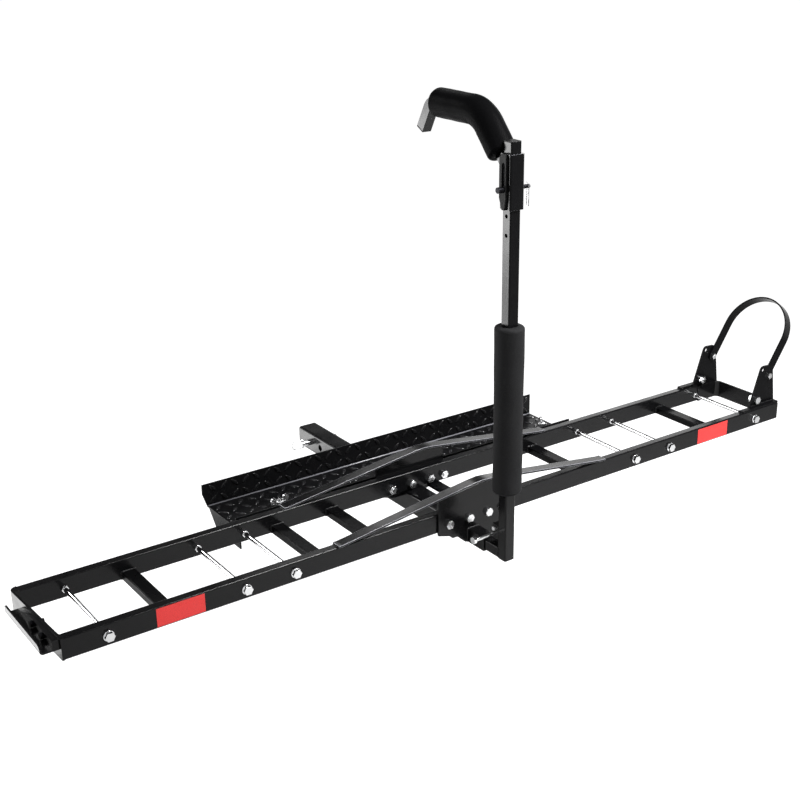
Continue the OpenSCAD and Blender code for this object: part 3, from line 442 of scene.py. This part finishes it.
def foam_tube(name, path, bar_half, radius, shape):
    """A foam tube pulled over a square bar. path is a list of (centre, side, up) along the bar with
    rounded ends; shape(s, angle) gives a small swelling in mm at a place s mm along it."""
    bore = bar_half + BORE_PLAY
    run = [0.0]
    for (a, _, _), (b, _, _) in zip(path, path[1:]):
        run.append(run[-1] + (b - a).length / MM)
    total = run[-1]

    def section(i, part):
        """The ring at a place of the path, from the bore (part 0) to the outside (part 1)."""
        centre, side, up = path[i]
        ring = []
        for k in range(FOAM_AROUND):
            angle = 2 * math.pi * k / FOAM_AROUND
            c, s = math.cos(angle), math.sin(angle)
            inner = min(bore / max(abs(c), abs(s)), bore * BORE_CORNER)
            outer = radius + shape(run[i], angle)
            r = inner + (outer - inner) * part
            ring.append(centre + (side * c + up * s) * r * MM)
        return ring

    rings = []
    last = len(path) - 1
    for i in range(last + 1):
        to_end = min(run[i], total - run[i])
        if to_end < 1e-6:
            parts = (0.0, NOSE_RING, NOSE_FLAT)
            rings += [section(i, p) for p in (parts if i == 0 else reversed(parts))]
        elif to_end < NOSE:
            lift = 1 - to_end / NOSE
            round_off = math.sqrt(max(0.0, 1 - lift * lift))
            rings.append(section(i, NOSE_FLAT + (1 - NOSE_FLAT) * round_off))
        else:
            rings.append(section(i, 1.0))
    rings += [section(i, 0.0) for i in range(last - 1, 0, -1)]
    shell = bmesh.new()
    rows = [[shell.verts.new(p) for p in ring] for ring in rings]
    skin_rows(shell, rows + rows[:1])
    for face in shell.faces:
        face.smooth = True
    return plain_mesh(name, shell)


def stations(total, step):
    """Places along a foam tube, close together in its rounded ends."""
    count = max(2, round((total - 2 * NOSE) / step))
    middle = [NOSE + (total - 2 * NOSE) * i / count for i in range(1, count)]
    return list(NOSE_STEPS) + middle + [total - e for e in reversed(NOSE_STEPS)]


FOAM_Z0, FOAM_Z1, FOAM_R = 118.0, 476.0, 31.0


def mast_foam():
    """The long sleeve: a straight extrusion, a little waisted and uneven, as foam is when it is slid on."""
    length = FOAM_Z1 - FOAM_Z0
    path = [(mast(0, 0, FOAM_Z0 + s), Vector((1, 0, 0)), Vector((0, 1, 0)))
            for s in stations(length, step=5.0)]

    def shape(s, angle):
        """Half a millimetre thin, uneven by up to 0.7 mm, and waisted by half a millimetre halfway."""
        wave = noise.noise(Vector((math.cos(angle) * 1.2, math.sin(angle) * 1.2, s * 0.016)))
        return -0.5 + 0.7 * wave - 0.5 * math.sin(math.pi * s / length)

    mesh = foam_tube("mast_foam", path, MAST_HALF, FOAM_R, shape)
    made = piece("mast_foam", mesh, sleeve_foam, "mast")
    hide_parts("foam_sleeve")


ARM_HALF = 11.0
ARM_LEAN = math.radians(42)
ARM_LEVEL_Z = 881.0
ARM_WELD_Z = 797.0
ARM_BEND = 70.0
SLEEVE_HALF = 17.0
SLEEVE_TOP = 815.0
MAST_CLEAR_TOP = 887.0
PAD_R = 30.0
PAD_START = 17.0
PAD_END_Y = 234.5
# how far the pad's foot is kept from the sleeve and from the mast
SLEEVE_GAP, MAST_GAP = 0.5, 0.9
CREASE_PITCH = 9.0


def arm_pad():
    """The short pad: the same foam bent over the arm, creased on the inside of the bend and pressed
    against the mast at its foot."""
    rise = math.pi / 2 - ARM_LEAN
    elbow_y = SLEEVE_HALF + (ARM_LEVEL_Z - ARM_WELD_Z) * math.tan(ARM_LEAN)
    cut = ARM_BEND * math.tan(rise / 2)
    centre_y, centre_z = elbow_y + cut, ARM_LEVEL_Z - ARM_BEND
    start = Vector((SLEEVE_HALF + PAD_START * math.sin(ARM_LEAN),
                    ARM_WELD_Z + PAD_START * math.cos(ARM_LEAN)))
    bend0 = Vector((centre_y - ARM_BEND * math.sin(rise), centre_z + ARM_BEND * math.cos(rise)))
    slope = (bend0 - start).length
    arc = ARM_BEND * rise
    level = PAD_END_Y - centre_y
    total = slope + arc + level

    def at(s):
        """Centre, side and up of the arm at a place s mm along the pad."""
        if s < slope:
            y, z = start + (bend0 - start) * (s / slope)
            heading = rise
        elif s < slope + arc:
            heading = rise - (s - slope) / ARM_BEND
            y, z = centre_y - ARM_BEND * math.sin(heading), centre_z + ARM_BEND * math.cos(heading)
        else:
            heading = 0.0
            y, z = centre_y + s - slope - arc, ARM_LEVEL_Z
        up = Vector((0, -math.sin(heading), math.cos(heading)))
        return mast(0, y, z), Vector((1, 0, 0)), up

    def shape(s, angle):
        """0.4 mm thin and uneven by up to 0.8 mm. Inside the bend it is pressed in by 0.8 mm, with creases
        of 1.6 mm."""
        wave = noise.noise(Vector((math.cos(angle) * 1.4, math.sin(angle) * 1.4, s * 0.03 + 7.0)))
        inside = max(0.0, -math.sin(angle)) ** 2
        bend = math.exp(-((s - slope - arc / 2) / (0.6 * arc)) ** 2)
        crease = inside * bend * 1.6 * math.sin((s - slope) * 2 * math.pi / CREASE_PITCH)
        return -0.4 + 0.8 * wave + crease - 0.8 * inside * bend

    mesh = foam_tube("arm_foam", [at(s) for s in stations(total, step=3.0)], ARM_HALF, PAD_R, shape)
    sleeve_y = mast(0, SLEEVE_HALF + SLEEVE_GAP, 0).y
    mast_y = mast(0, MAST_HALF + MAST_GAP, 0).y
    for v in mesh.vertices:
        if v.co.z < tray(0, 0, SLEEVE_TOP + SLEEVE_GAP).z:
            v.co.y = max(v.co.y, sleeve_y)
        elif v.co.z < tray(0, 0, MAST_CLEAR_TOP).z:
            v.co.y = max(v.co.y, mast_y)
    made = piece("arm_foam", mesh, pad_foam, "head")
    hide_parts("arm_pad")


# pieces that repeat or follow a path, made with Geometry Nodes


def node_tree(name, inputs):
    """A Geometry Nodes tree with named inputs: (tree, outputs of its group input, group output node)."""
    tree = bpy.data.node_groups.new(name, "GeometryNodeTree")
    for label, kind in [("Geometry", "NodeSocketGeometry")] + inputs:
        tree.interface.new_socket(label, in_out="INPUT", socket_type=kind)
    tree.interface.new_socket("Geometry", in_out="OUTPUT", socket_type="NodeSocketGeometry")
    return tree, add(tree, "NodeGroupInput").outputs, add(tree, "NodeGroupOutput")


def end_tree(tree, instances, finish, result):
    """Ends a tree: its geometry made real and given its finish."""
    real = add(tree, "GeometryNodeRealizeInstances", [(0, instances)])
    painted = add(tree, "GeometryNodeSetMaterial", [("Geometry", real.outputs[0]), ("Material", finish)])
    tree.links.new(painted.outputs[0], result.inputs[0])


def grown(tree, base, values):
    """The plain mesh that a tree makes from a base mesh with these named input values."""
    holder = bpy.data.objects.new("grown", base)
    SCENE.collection.objects.link(holder)
    grow = holder.modifiers.new("grow", "NODES")
    grow.node_group = tree
    for item in tree.interface.items_tree:
        if item.in_out == "INPUT" and item.name in values:
            grow[item.identifier] = values[item.name]
    bpy.context.view_layer.update()
    seen = holder.evaluated_get(bpy.context.evaluated_depsgraph_get())
    mesh = bpy.data.meshes.new_from_object(seen)
    holder.modifiers.remove(grow)
    bpy.data.objects.remove(holder)
    return mesh


def joined(name, parts):
    """One smooth mesh in one finish from several (mesh, matrix) parts."""
    whole = bmesh.new()
    for mesh, place in parts:
        mesh.transform(place)
        whole.from_mesh(mesh)
    for face in whole.faces:
        face.material_index = 0
        face.smooth = True
    mesh = bpy.data.meshes.new(name)
    whole.to_mesh(mesh)
    whole.free()
    return mesh


LUG_LEN, LUG_W, LUG_H, LUG_SINK = 27.0, 9.0, 2.2, 0.4
LUG_POINTS = 14
# height of each row of a lug's points, and its share of the lug's length and width
LUG_ROWS = ((-LUG_SINK, 1.0), (LUG_H * 0.45, 0.9), (LUG_H * 0.85, 0.7), (LUG_H, 0.4))


def tread_lug():
    """One raised lug of the tread plate: a pointed lens with a flat crown, sunk a little into the plate."""
    half = LUG_LEN / 2
    bow = LUG_W / 2
    shell = bmesh.new()
    rows = []
    for height, part in LUG_ROWS:
        row = []
        for k in range(LUG_POINTS):
            t = k / (LUG_POINTS / 2)
            side = 1 if t < 1 else -1
            x = half * (1 - 2 * t) if t < 1 else half * (2 * t - 3)
            y = side * bow * (1 - (x / half) ** 2)
            row.append(shell.verts.new((x * part * MM, y * part * MM, height * MM)))
        rows.append(row)
    skin_rows(shell, rows)
    shell.faces.new(rows[-1])
    shell.faces.new(list(reversed(rows[0])))
    return bpy.data.objects.new("tread_lug", plain_mesh("tread_lug", shell))


def tread_tree():
    """Lugs on a square grid, each turned across its neighbours."""
    tree, got, result = node_tree("tread", [
        ("Columns", "NodeSocketInt"), ("Rows", "NodeSocketInt"), ("Pitch", "NodeSocketFloat"),
        ("Lug", "NodeSocketObject"), ("Finish", "NodeSocketMaterial")])
    spans = []
    for label in ("Columns", "Rows"):
        steps = add(tree, "ShaderNodeMath", [(0, got[label]), (1, 1.0)], operation="SUBTRACT")
        span = add(tree, "ShaderNodeMath", [(0, steps.outputs[0]), (1, got["Pitch"])], operation="MULTIPLY")
        spans.append(span.outputs[0])
    grid = add(tree, "GeometryNodeMeshGrid", [
        ("Size X", spans[0]), ("Size Y", spans[1]),
        ("Vertices X", got["Columns"]), ("Vertices Y", got["Rows"])])
    # a lug's number of steps from the grid's corner tells which way it is turned
    spot = add(tree, "ShaderNodeSeparateXYZ", [(0, add(tree, "GeometryNodeInputPosition").outputs[0])])
    corner = add(tree, "ShaderNodeMath", [(0, spans[0]), (1, spans[1])], operation="ADD")
    half = add(tree, "ShaderNodeMath", [(0, corner.outputs[0]), (1, 0.5)], operation="MULTIPLY")
    both = add(tree, "ShaderNodeMath", [(0, spot.outputs["X"]), (1, spot.outputs["Y"])], operation="ADD")
    far = add(tree, "ShaderNodeMath", [(0, both.outputs[0]), (1, half.outputs[0])], operation="ADD")
    steps = add(tree, "ShaderNodeMath", [(0, far.outputs[0]), (1, got["Pitch"])], operation="DIVIDE")
    whole = add(tree, "ShaderNodeMath", [(0, steps.outputs[0])], operation="ROUND")
    odd = add(tree, "ShaderNodeMath", [(0, whole.outputs[0]), (1, 2.0)], operation="MODULO")
    turn = add(tree, "ShaderNodeMath", [(0, odd.outputs[0]), (1, math.pi / 2), (2, math.pi / 4)],
               operation="MULTIPLY_ADD")
    spin = add(tree, "ShaderNodeCombineXYZ", [("Z", turn.outputs[0])])
    lug = add(tree, "GeometryNodeObjectInfo", [("Object", got["Lug"])])
    placed = add(tree, "GeometryNodeInstanceOnPoints", [
        ("Points", grid.outputs["Mesh"]), ("Instance", lug.outputs["Geometry"]),
        ("Rotation", spin.outputs[0])])
    end_tree(tree, placed.outputs[0], got["Finish"], result)
    return tree


RAMP_X0, RAMP_X1 = 470.0, 1403.0
RAMP_Y0, RAMP_Y1 = 250.0, 408.0
RAMP_PLATE_TOP = 3.4
RAMP_T = 3.0
TREAD_PITCH = 27.0
# bare ends of the tread, the pattern's shift along the ramp, and its height on the two flanges
TREAD_BARE, TREAD_SHIFT = 30.0, 4.0
REAR_TREAD_Z, FRONT_TREAD_Z = 30.5, 21.5


def ramp_tread():
    """The raised lugs on the inner side of the folded ramp. On the floor, which is walked and rolled on,
    they are rubbed, and drawn lighter as a painted glint too; on the two flanges they keep their coat."""
    lug = tread_lug()
    tree = tread_tree()
    columns = int((RAMP_X1 - RAMP_X0 - TREAD_BARE) / TREAD_PITCH) + 1
    x = (RAMP_X0 + RAMP_X1) / 2 + TREAD_SHIFT
    lean_in = Matrix.Rotation(math.pi / 2, 4, "X")
    lean_out = Matrix.Rotation(-math.pi / 2, 4, "X")
    floor = (5, tray(x, (RAMP_Y0 + RAMP_Y1) / 2, RAMP_PLATE_TOP), Matrix.Identity(4))
    rear = (2, tray(x, RAMP_Y1 - RAMP_T, REAR_TREAD_Z), lean_in)
    front = (1, tray(x, RAMP_Y0 + RAMP_T, FRONT_TREAD_Z), lean_out)
    for name, finish, areas in (("ramp_tread", crown_wear_and_glint, (floor,)),
                                ("flange_tread", lug_black, (rear, front))):
        parts = []
        for rows, centre, lean in areas:
            mesh = grown(tree, bpy.data.meshes.new("tread_base"), {
                "Columns": columns, "Rows": rows, "Pitch": TREAD_PITCH * MM, "Lug": lug, "Finish": finish})
            parts.append((mesh, Matrix.Translation(centre) @ lean))
        piece(name, joined(name, parts), finish, "ramp")
    bpy.data.objects.remove(lug)


FOLD_R = 3.5
FOLD_STEPS = 8
# how far the fold's filler reaches into the plate, and where it ends short of the ramp
FOLD_SINK = 0.3
FOLD_LEFT, FOLD_RIGHT = 12.0, 1.0


def ramp_fold():
    """The rounded inside of the fold between the ramp's floor and its rear flange, finished light grey as a
    painted highlight.
    """
    y, z = RAMP_Y1 - RAMP_T + FOLD_SINK, RAMP_PLATE_TOP - FOLD_SINK
    r = FOLD_R + FOLD_SINK
    corner = [(y, z)]
    for k in range(FOLD_STEPS + 1):
        a = math.pi / 2 * k / FOLD_STEPS
        corner.append((y - r + r * math.sin(a), z + r - r * math.cos(a)))
    shell = bmesh.new()
    ends = [[shell.verts.new(tray(x, py, pz)) for py, pz in corner]
            for x in (RAMP_X0 + FOLD_LEFT, RAMP_X1 - FOLD_RIGHT)]
    skin_rows(shell, ends)
    for k, face in enumerate(shell.faces):
        face.smooth = 0 < k < len(corner) - 1
    for end in ends:
        shell.faces.new(end)
    # the fold's light grey finish is a painted highlight
    piece("ramp_fold", plain_mesh("ramp_fold", shell), painted_highlight_grey, "ramp")


# a weld bead: mm from ring to ring, share by which its radius swells, radians of the ripple from ring to
# ring, and points around it
BEAD_STEP = 1.3
BEAD_SWELL = 0.16
BEAD_TURN = 1.55
BEAD_AROUND = 8


def bead_tree():
    """A weld bead along each line of the base mesh, its radius rippled by the welder's steps."""
    tree, got, result = node_tree("weld_bead", [
        ("Radius", "NodeSocketFloat"), ("Step", "NodeSocketFloat"), ("Finish", "NodeSocketMaterial")])
    line = add(tree, "GeometryNodeMeshToCurve", [("Mesh", got["Geometry"])])
    fine = add(tree, "GeometryNodeResampleCurve", [("Curve", line.outputs[0]), ("Length", got["Step"])],
               mode="LENGTH")
    number = add(tree, "GeometryNodeInputIndex")
    phase = add(tree, "ShaderNodeMath", [(0, number.outputs[0]), (1, BEAD_TURN)], operation="MULTIPLY")
    ripple = add(tree, "ShaderNodeMath", [(0, phase.outputs[0])], operation="SINE")
    swell = add(tree, "ShaderNodeMath", [(0, ripple.outputs[0]), (1, BEAD_SWELL), (2, 1.0)],
                operation="MULTIPLY_ADD")
    size = add(tree, "ShaderNodeMath", [(0, swell.outputs[0]), (1, got["Radius"])], operation="MULTIPLY")
    around = add(tree, "GeometryNodeCurvePrimitiveCircle", Resolution=BEAD_AROUND, Radius=1.0)
    tube = add(tree, "GeometryNodeCurveToMesh", [
        ("Curve", fine.outputs[0]), ("Profile Curve", around.outputs[0]), ("Scale", size.outputs[0]),
        ("Fill Caps", True)])
    end_tree(tree, tube.outputs[0], got["Finish"], result)
    return tree


BEADS = bead_tree()


def weld_beads(name, lines, radius_mm, body):
    """Weld beads along lines of frame points, as one piece on a body."""
    base = bpy.data.meshes.new(name + "_lines")
    points, edges = [], []
    for line in lines:
        first = len(points)
        points += [tuple(p) for p in line]
        edges += [(first + i, first + i + 1) for i in range(len(line) - 1)]
    base.from_pydata(points, edges, [])
    mesh = grown(BEADS, base, {"Radius": radius_mm * MM, "Step": BEAD_STEP * MM, "Finish": weld_black})
    piece(name, joined(name, [(mesh, Matrix.Identity(4))]), weld_black, body)


BAR_X = (214.5, 546.5, 681.0, 1251.0, 1688.0)
BAR_HALF, BAR_H, BAR_LOW = 14.5, 17.0, 1.0
ARCH_X, ARCH_REACH = 25.0, 362.0
GUSSET_T = 5.0
SOCKET_HALF = 15.5
SHANK_HALF, SHANK_WELD_LOW = 25.0, -18.0
LEG_Z = -25.0
# where the left end plate meets the front rail, and where the wings of the right end frame end
END_WELD_X = 4.5
FRAME_X = TRAY_LEN - 75.0
# a cheek's foot from its outer side to the cheek, and the weld along the cheek
FOOT_X, FOOT_Y, FOOT_T = TRAY_LEN - 135.0, 1.0, 5.0
CHEEK_Y = 15.0
CHEEK_WELD_X0, CHEEK_WELD_X1 = TRAY_LEN - 92.0, TRAY_LEN - 3.0
BRACKET_X, BRACKET_HALF = (611.0, 1369.0), 12.0
BRACKET_WELD_Z0, BRACKET_WELD_Z1 = 8.0, 36.0
# welds stop this far short of a corner
SHORT = 2.0


def over(x0, x1, y, low, high):
    """A weld up one side of a plate or tube that stands on a face at y, over it and down the other."""
    return [tray(x0, y, low), tray(x0, y, high), tray(x1, y, high), tray(x1, y, low)]


def carrier_welds():
    """The welds of the tray: bars, arches, socket, shank, end plates, feet, cheeks and ramp brackets."""
    lines = []
    for x in BAR_X:
        for y in (RAIL_W, TRAY_W - RAIL_W):
            lines.append(over(x - BAR_HALF, x + BAR_HALF, y, BAR_LOW, BAR_H))
    for side in (-1, 1):
        x = HITCH_X + ARCH_X + side * ARCH_REACH
        for y0, y1 in ((SHORT, RAIL_W - SHORT), (TRAY_W - RAIL_W + SHORT, TRAY_W - SHORT)):
            lines.append([tray(x, y0, RAIL_H), tray(x, y1, RAIL_H)])
    lines.append(over(HITCH_X - SOCKET_HALF, HITCH_X + SOCKET_HALF, -GUSSET_T,
                      LEG_Z - SOCKET_HALF, LEG_Z + SOCKET_HALF))
    lines.append(over(HITCH_X - SHANK_HALF, HITCH_X + SHANK_HALF, TRAY_W + GUSSET_T, SHANK_WELD_LOW, 0))
    for x, y in ((END_WELD_X, RAIL_W), (FRAME_X, RAIL_W), (FRAME_X, TRAY_W - RAIL_W)):
        lines.append([tray(x, y, SHORT), tray(x, y, RAIL_H - SHORT)])
    foot_top = RAIL_H + FOOT_T
    for y in (CHEEK_Y, TRAY_W - CHEEK_Y):
        lines.append([tray(CHEEK_WELD_X0, y, foot_top), tray(CHEEK_WELD_X1, y, foot_top)])
    for y0, y1 in ((FOOT_Y + SHORT, CHEEK_Y - SHORT), (TRAY_W - CHEEK_Y + SHORT, TRAY_W - FOOT_Y - SHORT)):
        lines.append([tray(FOOT_X, y0, RAIL_H), tray(FOOT_X, y1, RAIL_H)])
    for x in BRACKET_X:
        lines.append(over(x - BRACKET_HALF, x + BRACKET_HALF, TRAY_W, BRACKET_WELD_Z0, BRACKET_WELD_Z1))
    weld_beads("carrier_welds", lines, radius_mm=2.0, body="carrier")


# corner radius of the mast's leg, how far the lug's weld is in from the mast's sides, and the heights
# of the welds of the lug and of the arm
LEG_ROUND = 3.0
LUG_WELD_IN = 1.0
LUG_WELD_Z0, LUG_WELD_Z1 = 6.0, 37.0
ARM_WELD_Z0, ARM_WELD_Z1 = 778.0, 813.0


def mast_welds():
    """The welds of the mast: its leg and the lug of the clamp bolt."""
    h, c = MAST_HALF, LEG_ROUND
    low, high = LEG_Z - h, LEG_Z + h
    leg = [mast(-h, h, low + c), mast(-h, h, high - c), mast(-h + c, h, high), mast(h - c, h, high),
           mast(h, h, high - c), mast(h, h, low + c)]
    w = h - LUG_WELD_IN
    lug = [mast(-w, h, LUG_WELD_Z0), mast(-w, h, LUG_WELD_Z1),
           mast(w, h, LUG_WELD_Z1), mast(w, h, LUG_WELD_Z0)]
    weld_beads("mast_welds", [leg, lug], radius_mm=1.8, body="mast")


def head_welds():
    """The weld of the arm on the sliding sleeve."""
    w, s = ARM_HALF, SLEEVE_HALF
    arm = [mast(-w, s, ARM_WELD_Z1), mast(-w, s, ARM_WELD_Z0),
           mast(w, s, ARM_WELD_Z0), mast(w, s, ARM_WELD_Z1)]
    weld_beads("head_welds", [arm], radius_mm=1.6, body="head")


finish_cad_pieces()
mast_foam()
arm_pad()
ramp_tread()
ramp_fold()
carrier_welds()
mast_welds()
head_welds()

bpy.context.view_layer.update()
